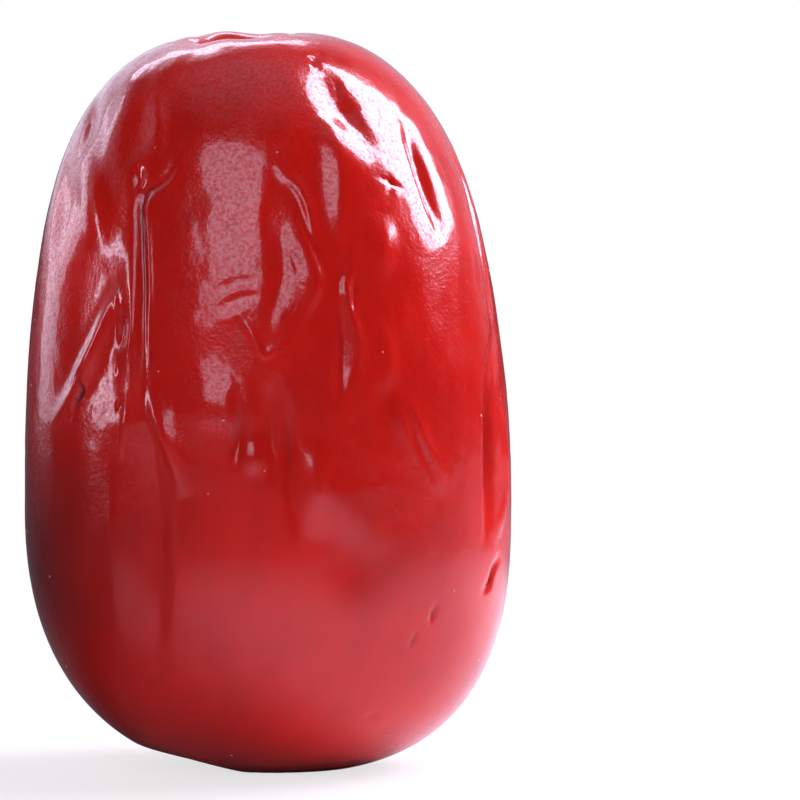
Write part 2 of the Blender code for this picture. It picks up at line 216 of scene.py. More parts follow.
# Steps, ramps and ridges from the middle of the front down, and the small furrows under them
MIDDLE_FOLDS = (
    Fold(-0.10, 1.20, 0.45, (
        (-0.3, 43.2), (-0.2, 39.5), (-0.6, 37.3), (-0.5, 35.5), (-0.3, 32.5), (-0.4, 29.4))),
    Fold(0.08, 1.30, 1.30, ((-5.4, 39.2), (-5.3, 37.8), (-5.4, 36.1))),
    Fold(0.05, 0.60, 0.60, ((-3.1, 37.1), (-3.1, 36.0), (-3.0, 34.9))),
    Fold(-0.34, 1.30, 0.50, (
        (1.2, 38.8), (1.8, 36.9), (2.4, 35.1), (3.1, 33.3), (3.2, 32.1), (2.4, 30.6),
        (1.6, 27.9))),
    Fold(0.07, 0.35, 0.45, ((1.3, 35.5), (1.8, 34.1), (2.2, 32.8))),
    Fold(0.08, 0.50, 0.50, (
        (1.1, 37.3), (0.9, 35.5), (1.0, 33.4), (0.5, 31.5), (0.1, 29.9), (0.3, 28.2))),
    Fold(-0.24, 0.26, 0.60, (
        (-0.1, 41.1), (1.0, 39.8), (1.9, 39.0), (2.5, 37.8), (2.9, 36.3), (3.4, 35.1),
        (4.6, 33.0))),
    Fold(-0.60, 1.10, 4.00, ((3.9, 44.1), (4.5, 42.2), (4.9, 39.6), (5.0, 36.4), (4.7, 33.6))),
    Fold(-0.26, 0.35, 0.50, (
        (6.3, 36.3), (5.5, 33.4), (5.2, 32.1), (5.7, 29.9), (6.1, 28.0), (5.8, 24.9))),
    Fold(-0.30, 1.10, 0.90, ((7.4, 37.3), (7.6, 34.8), (7.4, 32.0))),
    Fold(-0.20, 0.90, 0.70, ((7.7, 30.3), (8.0, 27.4), (7.8, 24.7))),
    Fold(-0.30, 1.30, 2.00, (
        (-7.3, 24.4), (-5.4, 24.1), (-3.6, 23.9), (-1.9, 24.0), (-0.4, 24.7))),
    Fold(-0.20, 0.90, 0.90, ((-2.3, 21.0), (-0.9, 20.7), (0.4, 21.1))),
    Fold(-0.36, 0.90, 1.00, ((3.5, 22.0), (3.2, 19.3), (3.0, 15.2))),
    Fold(0.30, 0.60, 0.60, ((0.5, 26.6), (0.1, 23.3), (0.4, 18.9))),
    Fold(-0.28, 0.80, 0.90, ((8.4, 25.2), (9.9, 22.2), (12.0, 18.0))),
    Fold(0.26, 2.40, 2.40, ((5.7, 18.6), (5.9, 14.1), (6.1, 9.8))),
    Fold(0.34, 0.42, 0.42, ((1.0, 25.5), (1.4, 22.6), (1.5, 19.3), (1.9, 15.2))),
    Fold(0.30, 0.45, 0.38, ((4.9, 31.7), (5.1, 28.0), (4.8, 23.9))),
    Fold(0.28, 0.38, 0.38, ((-2.4, 25.6), (-2.0, 23.0), (-2.2, 19.8))),
    Fold(0.26, 0.36, 0.36, ((9.0, 24.7), (9.9, 22.1), (11.2, 19.0))),
    Fold(-0.14, 1.30, 1.30, ((3.2, 19.9), (4.9, 17.6), (7.8, 13.9))),
)

# Crease just inside the right outline, the strip that it opens into, and a nick below
RIGHT_FOLDS = (
    Fold(0.40, 0.35, 0.50, (
        (11.7, 43.7), (12.6, 41.0), (13.4, 39.1), (13.9, 37.3), (14.5, 34.9), (15.0, 32.0),
        (15.2, 28.0))),
    Fold(0.50, 0.45, 0.80, (
        (15.4, 30.2), (14.8, 26.6), (14.7, 23.3), (14.7, 19.9), (14.7, 17.6), (14.4, 14.4))),
    Fold(-0.25, 0.80, 0.50, ((15.7, 25.3), (15.9, 21.3), (15.9, 17.9), (15.0, 14.9))),
    Fold(0.30, 0.25, 0.25, ((15.6, 14.4), (15.1, 13.3), (14.8, 12.2), (14.2, 11.7))),
)

# Lips, cracks and nicks that are only a few tenths of a millimetre wide
FINE_FOLDS = (
    Fold(-0.10, 0.16, 0.16, (
        (-8.0, 39.2), (-8.2, 38.0), (-8.3, 37.1), (-8.1, 35.4), (-8.0, 32.1), (-8.1, 29.9),
        (-8.2, 25.6))),
    Fold(0.26, 0.40, 0.40, ((-8.8, 40.5), (-8.8, 39.4), (-8.8, 38.2))),
    Fold(-0.10, 0.15, 0.15, ((-10.3, 32.5), (-10.2, 29.9), (-10.2, 27.9))),
    Fold(-0.12, 0.15, 0.15, ((-9.2, 32.5), (-9.1, 30.3), (-9.2, 28.8), (-9.6, 27.0))),
    Fold(-0.12, 0.16, 0.16, ((-9.5, 24.1), (-9.9, 22.0), (-10.1, 20.3))),
    Fold(0.15, 0.12, 0.12, ((-10.2, 27.0), (-10.2, 26.3))),
    Fold(0.20, 0.14, 0.14, ((-9.9, 24.7), (-10.2, 23.8))),
    Fold(0.30, 0.14, 0.14, (
        (-12.1, 27.5), (-12.5, 26.1), (-12.4, 25.3), (-12.9, 24.2), (-13.2, 23.0))),
    Fold(0.06, 0.16, 0.26, ((-4.0, 31.5), (-3.1, 32.2), (-1.9, 32.6), (-0.1, 32.8))),
    Fold(0.05, 0.12, 0.18, ((-3.2, 31.0), (-2.0, 31.5), (-0.3, 31.7))),
    Fold(-0.04, 0.20, 0.20, ((-3.8, 31.1), (-2.2, 32.0), (-0.3, 32.4))),
    Fold(-0.05, 0.14, 0.20, ((-3.6, 29.9), (-2.3, 30.3), (-1.1, 31.0))),
    Fold(-0.14, 0.20, 0.20, ((-2.3, 30.9), (-1.2, 29.3), (-0.4, 27.8), (0.4, 28.0), (1.8, 28.7))),
    Fold(0.12, 0.18, 0.18, ((5.8, 33.2), (5.7, 31.4), (5.8, 29.8))),
    Fold(0.12, 0.14, 0.14, ((7.0, 39.6), (8.0, 39.2), (9.0, 38.8))),
    Fold(0.12, 0.14, 0.14, ((7.8, 39.9), (8.0, 39.1), (7.8, 38.2))),
    Fold(0.14, 0.13, 0.13, ((4.3, 46.5), (4.6, 45.8), (4.7, 44.8))),
    Fold(0.15, 0.16, 0.16, ((2.5, 48.0), (2.9, 47.5), (3.3, 46.8))),
    Fold(0.12, 0.15, 0.15, ((3.6, 48.2), (2.9, 47.4))),
    Fold(0.22, 0.20, 0.20, ((11.5, 11.0), (11.1, 10.2), (10.9, 9.5))),
    Fold(0.20, 0.16, 0.16, ((10.1, 8.9), (9.5, 7.9))),
    Fold(0.15, 0.16, 0.16, ((6.5, 3.1), (7.2, 3.3), (7.8, 3.1))),
    Fold(-0.08, 0.14, 0.14, ((14.1, 34.9), (14.2, 33.4), (14.3, 32.0))),
)

# Furrows of the hidden side, from the right edge round the back to the left edge: azimuths in
# degrees, lengths and heights in millimetres
BACK_SEED = 17
BACK_FROM = 8.0
BACK_TO = 172.0
BACK_FURROWS = 12
BACK_TOP = (34.0, 45.0)
BACK_LENGTH = (12.0, 28.0)
BACK_WANDER = 3.2             # degrees, at each quarter of the length
BACK_DEPTH = (0.5, 1.05)
BACK_WIDTH = (1.2, 1.8)
BRANCH_LENGTH = (3.0, 7.0)
BRANCH_LEAN = (5.0, 11.0)


def linear(code):
    """Linear colour with alpha from an sRGB hex code."""
    parts = [int(code[i:i + 2], 16) / 255.0 for i in (1, 3, 5)]
    return tuple(
        p / 12.92 if p <= 0.04045 else ((p + 0.055) / 1.055) ** 2.4 for p in parts) + (1.0,)


def outline_power(azimuth, above):
    """Superellipse power of the outline at an azimuth, above or below the girth."""
    side = np.cos(azimuth)
    return np.where(above, UPPER_POWER - UPPER_SKEW * side, LOWER_POWER + LOWER_SKEW * side)


def outline_point(azimuth, slope):
    """Radius and height of the outline in the direction that rises by slope from its centre."""
    above = slope > 0.0
    power = outline_power(azimuth, above)
    reach = np.where(above, RISE, DROP)
    flat, steep = np.abs(np.cos(slope)) / HALF_WIDTH, np.abs(np.sin(slope)) / reach
    length = (flat ** power + steep ** power) ** (-1.0 / power)
    return length * np.cos(slope), GIRTH_HEIGHT + length * np.sin(slope)


def turned(radius, azimuth, height):
    """Point at a radius of the round form, which is a little shallower than it is wide."""
    depth = HALF_DEPTH / HALF_WIDTH
    return np.stack(
        (radius * np.cos(azimuth), depth * radius * np.sin(azimuth), height), axis=-1)


def point_at(azimuth, height):
    """Point of the round form at an azimuth and a height."""
    rise = height - GIRTH_HEIGHT
    above = rise > 0.0
    power = outline_power(azimuth, above)
    share = np.clip(np.abs(rise) / np.where(above, RISE, DROP), 0.0, 1.0)
    radius = HALF_WIDTH * (1.0 - share ** power) ** (1.0 / power)
    return turned(radius, azimuth, height)


def point_seen_at(across, up):
    """Point of the front of the round form that the eye sees across and up from the origin."""
    x, y, z = across, -HALF_DEPTH, up
    for _ in range(SIGHT_STEPS):
        nearness = 1.0 + y / EYE_DISTANCE
        x = EYE_ACROSS + (across - EYE_ACROSS) * nearness
        lift = EYE_HEIGHT + (up - EYE_HEIGHT) * nearness
        z = (lift - y * math.sin(EYE_ANGLE)) / math.cos(EYE_ANGLE)
        z = min(z, GIRTH_HEIGHT + RISE * 0.995)
        radius = abs(float(point_at(0.0 if x > 0.0 else math.pi, z)[0]))
        azimuth = -math.acos(max(-1.0, min(1.0, x / radius)))
        y = float(point_at(azimuth, z)[1])
    return point_at(azimuth, z)


def smooth_route(points):
    """Curve through the points of a route, each stretch in ROUTE_STEPS straight pieces."""
    points = [np.asarray(p, float) for p in points]
    padded = [2 * points[0] - points[1], *points, 2 * points[-1] - points[-2]]
    curve = []
    for a, b, c, d in zip(padded, padded[1:], padded[2:], padded[3:]):
        for step in range(ROUTE_STEPS):
            t = step / ROUTE_STEPS
            curve.append(0.5 * (2 * b + (c - a) * t + (2 * a - 5 * b + 4 * c - d) * t ** 2
                                + (3 * b - a - 3 * c + d) * t ** 3))
    return np.array(curve + [points[-1]])


def front_folds():
    """Each fold that is drawn on the front, with its route in space."""
    for fold in SHOULDER_FOLDS + LEFT_FOLDS + MIDDLE_FOLDS + RIGHT_FOLDS + FINE_FOLDS:
        points = [point_seen_at(x * MM, z * MM) for x, z in fold.route]
        yield fold, smooth_route(points)


def back_route(route):
    """Curve in space through azimuths in degrees and heights in millimetres."""
    return smooth_route([point_at(math.radians(a), h * MM) for a, h in route])


def back_folds():
    """Furrows and branches of the hidden side, set out by a seeded rule."""
    draw = random.Random(BACK_SEED)
    pitch = (BACK_TO - BACK_FROM) / BACK_FURROWS
    for number in range(BACK_FURROWS):
        azimuth = BACK_FROM + (number + draw.uniform(0.2, 0.8)) * pitch
        top, length = draw.uniform(*BACK_TOP), draw.uniform(*BACK_LENGTH)
        route = []
        for share in (0.0, 0.25, 0.5, 0.75, 1.0):
            azimuth += draw.uniform(-BACK_WANDER, BACK_WANDER)
            route.append((azimuth, top - share * length))
        depth, width = draw.uniform(*BACK_DEPTH), draw.uniform(*BACK_WIDTH)
        yield Fold(depth, width, width, None), back_route(route)

        lean = draw.choice((-1.0, 1.0)) * draw.uniform(*BRANCH_LEAN)
        fork, fall = draw.choice(route[1:4]), draw.uniform(*BRANCH_LENGTH)
        branch = [fork, (fork[0] + 0.6 * lean, fork[1] - 0.5 * fall),
                  (fork[0] + lean, fork[1] - fall)]
        yield Fold(0.7 * depth, 0.8 * width, 0.8 * width, None), back_route(branch)


def nearest_on_route(points, normals, route):
    """Distance of each point to a route, signed by side, and how far along it lies."""
    best = np.full(len(points), np.inf)
    side = np.zeros(len(points))
    along = np.zeros(len(points))
    pieces = len(route) - 1
    for number, (start, end) in enumerate(zip(route, route[1:])):
        step = end - start
        share = np.clip((points - start) @ step / (step @ step), 0.0, 1.0)
        gap = points - start - share[:, None] * step
        distance = np.linalg.norm(gap, axis=1)
        closer = distance < best
        best[closer] = distance[closer]
        right = np.cross(normals[closer], step)
        side[closer] = np.sign(np.einsum("ij,ij->i", gap[closer], right))
        along[closer] = (number + share[closer]) / pieces
    return best * side, along


def fold_relief(points, normals):
    """How far the folds push the skin out at each point, and how much painted shade its fold gives
    it.
    """
    relief = np.zeros(len(points))
    crease = np.zeros(len(points))
    for fold, route in (*front_folds(), *back_folds()):
        reach = 3.0 * max(fold.left, fold.right) * MM
        near = np.all((points > route.min(axis=0) - reach)
                      & (points < route.max(axis=0) + reach), axis=1)
        distance, along = nearest_on_route(points[near], normals[near], route)
        width = np.where(distance < 0.0, fold.left, fold.right) * MM
        section = np.exp(-(distance / width) ** 2) * np.sin(np.pi * along) ** FOLD_TAPER
        relief[near] -= fold.depth * MM * section
        # Painted shade: folds that are deep for their width darken the colour inside them
        steep = fold.depth / (fold.left + fold.right)
        dark = np.clip(CREASE_STEEPNESS * steep - CREASE_START, 0.0, 1.0)
        crease[near] += dark * section ** 2
    return relief, np.clip(crease, 0.0, 1.0)


def broad_relief(points):
    """Lobes all round, shallow flutes on the hidden side and the slightly drawn-in flanks."""
    azimuth = np.arctan2(points[:, 1], points[:, 0])
    rise = points[:, 2] / (GIRTH_HEIGHT + RISE)
    middle = np.sin(np.pi * np.clip(rise, 0.0, 1.0))
    lobes = LOBE_HEIGHT * middle * np.cos(LOBES * azimuth + LOBE_TURN)
    hidden = np.clip(np.sin(azimuth), 0.0, 1.0)
    waves = np.sin(FLUTES * azimuth + FLUTE_SWAY * np.sin(2.0 * np.pi * rise))
    flutes = FLUTE_DEPTH * hidden * middle * np.clip(2.0 * rise, 0.0, 1.0) * waves
    side = np.cos(azimuth)
    waist = np.where(side > 0.0, WAIST_RIGHT, WAIST_LEFT) * side ** 2
    return lobes + flutes - waist * bell(points[:, 2] - WAIST_HEIGHT, WAIST_REACH)


def bell(distance, radius):
    """Soft round falloff, 1 in the middle and near 0 beyond twice the radius."""
    return np.exp(-(distance / radius) ** 2)


def mound(points, place, radius):
    """Round mound on the plan, 1 in the middle and exactly 0 from the radius outwards."""
    distance = np.hypot(points[:, 0] - place[0], points[:, 1] - place[1])
    return np.clip(1.0 - (distance / radius) ** 2, 0.0, 1.0)


def sink_cavity(points):
    """Lower the crown into the stem cavity, with its uneven rim."""
    x, y = points[:, 0] - CAVITY_CENTRE, points[:, 1]
    distance, turn = np.hypot(x, y), np.arctan2(y, x)
    top = points[:, 2] > GIRTH_HEIGHT
    puckers = np.cos(RIM_PUCKERS * turn + RIM_PUCKER_SWAY * np.sin(2.0 * turn))
    ring = bell(distance - 1.7 * CAVITY_RADIUS, 0.6 * CAVITY_RADIUS)
    far_rim = np.hypot(points[:, 0] - FAR_RIM_PLACE[0], y - FAR_RIM_PLACE[1])
    sink = (CAVITY_DEPTH * bell(distance, CAVITY_RADIUS)
            + SHOULDER_DEPTH * bell(distance, SHOULDER_RADIUS)
            + RIM_PUCKER_DEPTH * ring * puckers
            - FAR_RIM_LIFT * bell(far_rim, FAR_RIM_RADIUS))
    points[:, 2] -= np.where(top, sink, 0.0)


def level_base(points):
    """Level the spot that the fruit rests on, with the raised heel and the style dimple."""
    under = points[:, 2] < GIRTH_HEIGHT
    points[:, 2] = np.maximum(points[:, 2], 0.0)
    lift = (HEEL_LIFT * mound(points, HEEL_PLACE, HEEL_RADIUS) ** 2
            + DIMPLE_DEPTH * mound(points, DIMPLE_PLACE, DIMPLE_RADIUS))
    points[:, 2] += np.where(under, lift, 0.0)


def quad_sphere(grid):
    """Mesh of a gridded cube, and the directions of its vertices bent to equal angles."""
    cube = bmesh.new()
    bmesh.ops.create_cube(cube, size=2.0)
    bmesh.ops.subdivide_edges(cube, edges=cube.edges[:], cuts=grid - 1, use_grid_fill=True)
    mesh = bpy.data.meshes.new("skin")
    cube.to_mesh(mesh)
    cube.free()
    direction = np.tan(read_vectors(mesh.vertices, "co") * math.pi / 4.0)
    return mesh, direction / np.linalg.norm(direction, axis=1)[:, None]


def even_slopes(latitude):
    """Slopes at which rows of equal latitude steps lie evenly along the outline."""
    slopes = np.linspace(-math.pi / 2.0, math.pi / 2.0, 721)
    radius, height = outline_point(math.pi / 2.0, slopes)
    length = np.concatenate(
        ((0.0,), np.cumsum(np.hypot(np.diff(radius), np.diff(height)))))
    return np.interp((latitude / math.pi + 0.5) * length[-1], length, slopes)


def crowded_front(azimuth):
    """Azimuths with their steps made smaller at the front and larger at the back."""
    from_front = azimuth + math.pi / 2.0
    return azimuth - FRONT_CROWDING * np.sin(from_front)


def read_vectors(items, attribute):
    """Vectors of a mesh's vertices, or of its vertex normals, as an array."""
    values = np.empty(3 * len(items))
    items.foreach_get(attribute, values)
    return values.reshape(-1, 3)


def write_points(mesh, points):
    """Put a mesh's vertices at the given points."""
    mesh.vertices.foreach_set("co", points.ravel())
    mesh.update()


def store_attribute(mesh, name, values):
    """Keep one number for each vertex, for materials and geometry nodes to read."""
    layer = mesh.attributes.new(name, "FLOAT", "POINT")
    layer.data.foreach_set("value", values)


def link_object(name, mesh):
    """New object for a mesh, in the fruit's collection."""
    holder = bpy.data.collections.get("jujube") or bpy.data.collections.new("jujube")
    if holder.name not in bpy.context.scene.collection.children:
        bpy.context.scene.collection.children.link(holder)
    piece = bpy.data.objects.new(name, mesh)
    holder.objects.link(piece)
    return piece


def finish_piece(piece):
    """Let a piece ride on the fruit's body and stand for its solid, which is hidden."""
    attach(piece, BODY)
    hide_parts(NODE)


def set_inputs(tree, node, inputs):
    """Give a node its inputs, by name or in order: values are set, nodes and sockets linked."""
    for name, value in inputs.items() if isinstance(inputs, dict) else enumerate(inputs):
        if isinstance(value, bpy.types.Node):
            value = value.outputs[0]
        if isinstance(value, bpy.types.NodeSocket):
            tree.links.new(value, node.inputs[name])
        else:
            node.inputs[name].default_value = value


def add_node(tree, kind, inputs=(), **settings):
    """Add a node with its settings and its inputs."""
    node = tree.nodes.new(kind)
    for name, value in settings.items():
        setattr(node, name, value)
    set_inputs(tree, node, inputs)
    return node


def new_material(name):
    """Material with an empty node tree and its shader, already joined to the output."""
    material = bpy.data.materials.new(name)
    material.use_nodes = True
    tree = material.node_tree
    tree.nodes.clear()
    shader = add_node(tree, "ShaderNodeBsdfPrincipled")
    add_node(tree, "ShaderNodeOutputMaterial", {"Surface": shader})
    return material, tree, shader


def waxy_skin_material(look):
    """Dried jujube skin: thin tough cuticle, waxy and glossy over translucent red flesh.

    The eye sees saturated red with darker furrows, a broken, grainy edge on each reflection,
    and faint upright mottling where the skin dried unevenly.
    """
    material, tree, shader = new_material("waxy_jujube_skin")
    place = add_node(tree, "ShaderNodeTexCoord").outputs["Object"]
    crease, flank, shrunk = (
        add_node(tree, "ShaderNodeAttribute", attribute_name=name).outputs["Fac"]
        for name in ("crease", "painted_shade_flank", "wrinkled"))

    # Broad clouds and upright streaks, then painted shade on the low left flank and in the folds,
    # each over the one before
    broad = add_node(tree, "ShaderNodeTexNoise", {
        "Vector": place, "Scale": 1.0 / CLOUD_SIZE, "Detail": 3.0})
    cloud = add_node(tree, "ShaderNodeMapRange", (broad, 0.35, 0.65))
    tall = add_node(tree, "ShaderNodeMapping", {
        "Vector": place, "Scale": tuple(1.0 / size for size in STREAK_SIZE)})
    upright = add_node(tree, "ShaderNodeTexNoise", {"Vector": tall, "Scale": 1.0, "Detail": 3.0})
    streak = add_node(tree, "ShaderNodeMapRange", (upright, 0.45, 0.75, 0.0, 0.18))
    inside = add_node(tree, "ShaderNodeMapRange", (crease, 0.15, 0.7))
    colour = look.deep_red
    for share, tint in ((cloud, look.bright_red), (streak, look.dark_red),
                        (flank, look.flank_shade_maroon), (inside, look.fold_shade_brown)):
        colour = add_node(
            tree, "ShaderNodeMix", {0: share, 6: colour, 7: tint}, data_type="RGBA").outputs[2]

    # Wax lies thicker in some places, which sharpens or softens the reflections
    patchy = add_node(tree, "ShaderNodeTexNoise", {
        "Vector": place, "Scale": 1.0 / WAX_SIZE, "Detail": 4.0})
    rough = add_node(tree, "ShaderNodeMapRange", (patchy, 0.3, 0.7, 0.14, 0.22))

    # Grain of the cuticle, under a tenth of a millimetre in life and drawn coarser so that it
    # shows. It breaks the wax, and the plump lower part has hardly any.
    grain = add_node(tree, "ShaderNodeTexNoise", {
        "Vector": place, "Scale": 1.0 / GRAIN_SIZE, "Detail": 2.0})
    strength, dull, shiny = (
        add_node(tree, "ShaderNodeMapRange", (shrunk, 0.3, 0.9, smooth, wrinkled))
        for smooth, wrinkled in ((0.15, 1.0), (0.64, 0.38), (0.72, 1.0)))
    bump = add_node(tree, "ShaderNodeBump", {
        "Strength": strength, "Distance": GRAIN_HEIGHT, "Height": grain})
    waxed = add_node(tree, "ShaderNodeMapRange", (grain, 0.36, 0.60, dull, shiny))

    # The flank under the painted shade is dull too
    kept = add_node(tree, "ShaderNodeMapRange", (flank, 0.0, 0.9, 1.0, 0.1))
    gloss = add_node(tree, "ShaderNodeMath", (waxed, kept), operation="MULTIPLY")
    level = add_node(tree, "ShaderNodeMapRange", (gloss, 0.0, 1.0, 0.1, 0.58))
    set_inputs(tree, shader, {
        "Base Color": colour, "Roughness": rough, "Normal": bump, "IOR": 1.5,
        "Specular IOR Level": level, "Coat Weight": gloss, "Coat Roughness": 0.07})
    return material


def cork_material(look):
    """Corky tissue of the stem scar: dry, matt, light brown, with darker crumbs in it."""
    material, tree, shader = new_material("scar_cork")
    place = add_node(tree, "ShaderNodeTexCoord").outputs["Object"]
    crumbly = add_node(tree, "ShaderNodeTexNoise", {
        "Vector": place, "Scale": 1.0 / CRUMB_SIZE, "Detail": 5.0})
    crumbs = add_node(tree, "ShaderNodeMapRange", (crumbly, 0.35, 0.65))
    colour = add_node(tree, "ShaderNodeMix", {
        0: crumbs, 6: look.cork_dark, 7: look.cork_light}, data_type="RGBA").outputs[2]
    bump = add_node(tree, "ShaderNodeBump", {
        "Strength": 0.8, "Distance": CRUMB_HEIGHT, "Height": crumbs})
    set_inputs(tree, shader, {"Base Color": colour, "Normal": bump, "Roughness": 0.85})
    return material


def new_tree(name, inputs):
    """Geometry node tree with a geometry in and out, and the named inputs."""
    tree = bpy.data.node_groups.new(name, "GeometryNodeTree")
    tree.interface.new_socket("Geometry", in_out="INPUT", socket_type="NodeSocketGeometry")
    for label, kind in inputs:
        tree.interface.new_socket(label, in_out="INPUT", socket_type=kind)
    tree.interface.new_socket("Geometry", in_out="OUTPUT", socket_type="NodeSocketGeometry")
    return tree, tree.nodes.new("NodeGroupInput").outputs


def close_tree(tree, geometry, material):
    """End a tree in realized instances that carry the material."""
    solid = add_node(tree, "GeometryNodeRealizeInstances", {"Geometry": geometry})
    coated = add_node(tree, "GeometryNodeSetMaterial", {"Geometry": solid, "Material": material})
    add_node(tree, "NodeGroupOutput", {"Geometry": coated})


def ripple(tree, size, height, seed, stretch):
    """Offset along the normal by a noise of that size and height."""
    place = add_node(tree, "GeometryNodeInputPosition")
    squeezed = add_node(tree, "ShaderNodeVectorMath", (place, stretch), operation="MULTIPLY")
    scaled = add_node(tree, "ShaderNodeVectorMath", (squeezed, size), operation="DIVIDE")
    grain = add_node(tree, "ShaderNodeTexNoise", {
        "Vector": scaled, "W": seed, "Scale": 1.0, "Detail": 2.0}, noise_dimensions="4D")
    centred = add_node(tree, "ShaderNodeMath", (grain, 0.5), operation="SUBTRACT")
    return add_node(tree, "ShaderNodeMath", (centred, height), operation="MULTIPLY")


def crinkle_tree():
    """Fine relief of the dried skin: swells and crinkles along the normals, by noise."""
    tree, given = new_tree("skin_crinkle", (
        ("Swell size", "NodeSocketFloat"), ("Swell height", "NodeSocketFloat"),
        ("Crinkle size", "NodeSocketFloat"), ("Crinkle height", "NodeSocketFloat"),
        ("Seed", "NodeSocketFloat"), ("Material", "NodeSocketMaterial")))
    swell = ripple(tree, given["Swell size"], given["Swell height"], given["Seed"],
                   (1.0, 1.0, 0.5))
    crinkle = ripple(tree, given["Crinkle size"], given["Crinkle height"], given["Seed"],
                     (1.0, 1.0, 0.7))
    both = add_node(tree, "ShaderNodeMath", (swell, crinkle), operation="ADD")
    shrunk = add_node(tree, "GeometryNodeInputNamedAttribute", {"Name": "wrinkled"},
                      data_type="FLOAT").outputs["Attribute"]
    amount = add_node(tree, "ShaderNodeMath", (both, shrunk), operation="MULTIPLY")
    normal = add_node(tree, "GeometryNodeInputNormal")
    offset = add_node(tree, "ShaderNodeVectorMath", {0: normal, "Scale": amount},
                      operation="SCALE")
    moved = add_node(tree, "GeometryNodeSetPosition", {
        "Geometry": given["Geometry"], "Offset": offset})
    close_tree(tree, moved, given["Material"])
    return tree


def fleck_tree():
    """Corky lenticels: small flat grains strewn over the skin at random."""
    tree, given = new_tree("flecks", (
        ("Density", "NodeSocketFloat"), ("Fleck size", "NodeSocketFloat"),
        ("Seed", "NodeSocketInt"), ("Material", "NodeSocketMaterial")))
    strewn = add_node(tree, "GeometryNodeDistributePointsOnFaces", {
        "Mesh": given["Geometry"], "Density": given["Density"], "Seed": given["Seed"]})
    grain = add_node(tree, "GeometryNodeMeshIcoSphere", {
        "Radius": given["Fleck size"], "Subdivisions": 2})
    sizes = add_node(tree, "FunctionNodeRandomValue", {
        0: (0.5, 0.5, 0.15), 1: (1.3, 1.0, 0.25), "Seed": given["Seed"]},
        data_type="FLOAT_VECTOR")
    placed = add_node(tree, "GeometryNodeInstanceOnPoints", {
        "Points": strewn, "Instance": grain, "Rotation": strewn.outputs["Rotation"],
        "Scale": sizes})
    close_tree(tree, placed, given["Material"])
    return tree


def bake_tree(source, name, tree, values):
    """Run a geometry node tree on an object and return its result as a plain mesh."""
    modifier = source.modifiers.new(name, "NODES")
    modifier.node_group = tree
    for item in tree.interface.items_tree:
        if item.item_type == "SOCKET" and item.in_out == "INPUT" and item.name in values:
            modifier[item.identifier] = values[item.name]
    depsgraph = bpy.context.evaluated_depsgraph_get()
    depsgraph.update()
    mesh = bpy.data.meshes.new_from_object(
        source.evaluated_get(depsgraph), preserve_all_data_layers=True, depsgraph=depsgraph)
    mesh.name = name
    source.modifiers.remove(modifier)
    return mesh


def wrinkled_share(points):
    """1 where the skin has shrunk into wrinkles, near 0 on the smooth lower part in front."""
    azimuth = np.arctan2(points[:, 1], points[:, 0])
    edge = SMOOTH_EDGE + SMOOTH_EDGE_WAVE * np.sin(3.0 * azimuth)
    height = np.clip((points[:, 2] - edge) / SMOOTH_FADE, 0.0, 1.0)
    return SMOOTH_SHARE + (1.0 - SMOOTH_SHARE) * height * height * (3.0 - 2.0 * height)


def painted_shade_flank(points):
    """Share of painted shade on the low left flank: full in its middle, and 0 far from it."""
    gap = (points - np.array(FLANK_PLACE)) / np.array(FLANK_REACH)
    return FLANK_SHARE * np.exp(-np.sum(gap * gap, axis=1))


def skin_mesh(look):
    """Fine mesh of the skin, with attributes for its wrinkles and for the painted shade in the
    folds and on the low left flank.
    """
    mesh, direction = quad_sphere(look.skin_grid)
    azimuth = crowded_front(np.arctan2(direction[:, 1], direction[:, 0]))
    slope = even_slopes(np.arcsin(np.clip(direction[:, 2], -1.0, 1.0)))
    radius, height = outline_point(azimuth, slope)
    points = turned(radius, azimuth, height)
    write_points(mesh, points)
    normals = read_vectors(mesh.vertex_normals, "vector")

    calm = np.clip(points[:, 2] / CALM_BASE, 0.0, 1.0)
    folds, crease = fold_relief(points, normals)
    relief = calm * folds * look.fold_strength + broad_relief(points)
    points = points + relief[:, None] * normals
    sink_cavity(points)
    level_base(points)
    write_points(mesh, points)
    # Painted shade in the folds, for the skin's colour
    store_attribute(mesh, "crease", crease * calm)
    store_attribute(mesh, "wrinkled", wrinkled_share(points) * calm)
    # Painted shade on the low left flank, for the skin's colour
    store_attribute(mesh, "painted_shade_flank", painted_shade_flank(points))
    mesh.shade_smooth()
    return mesh


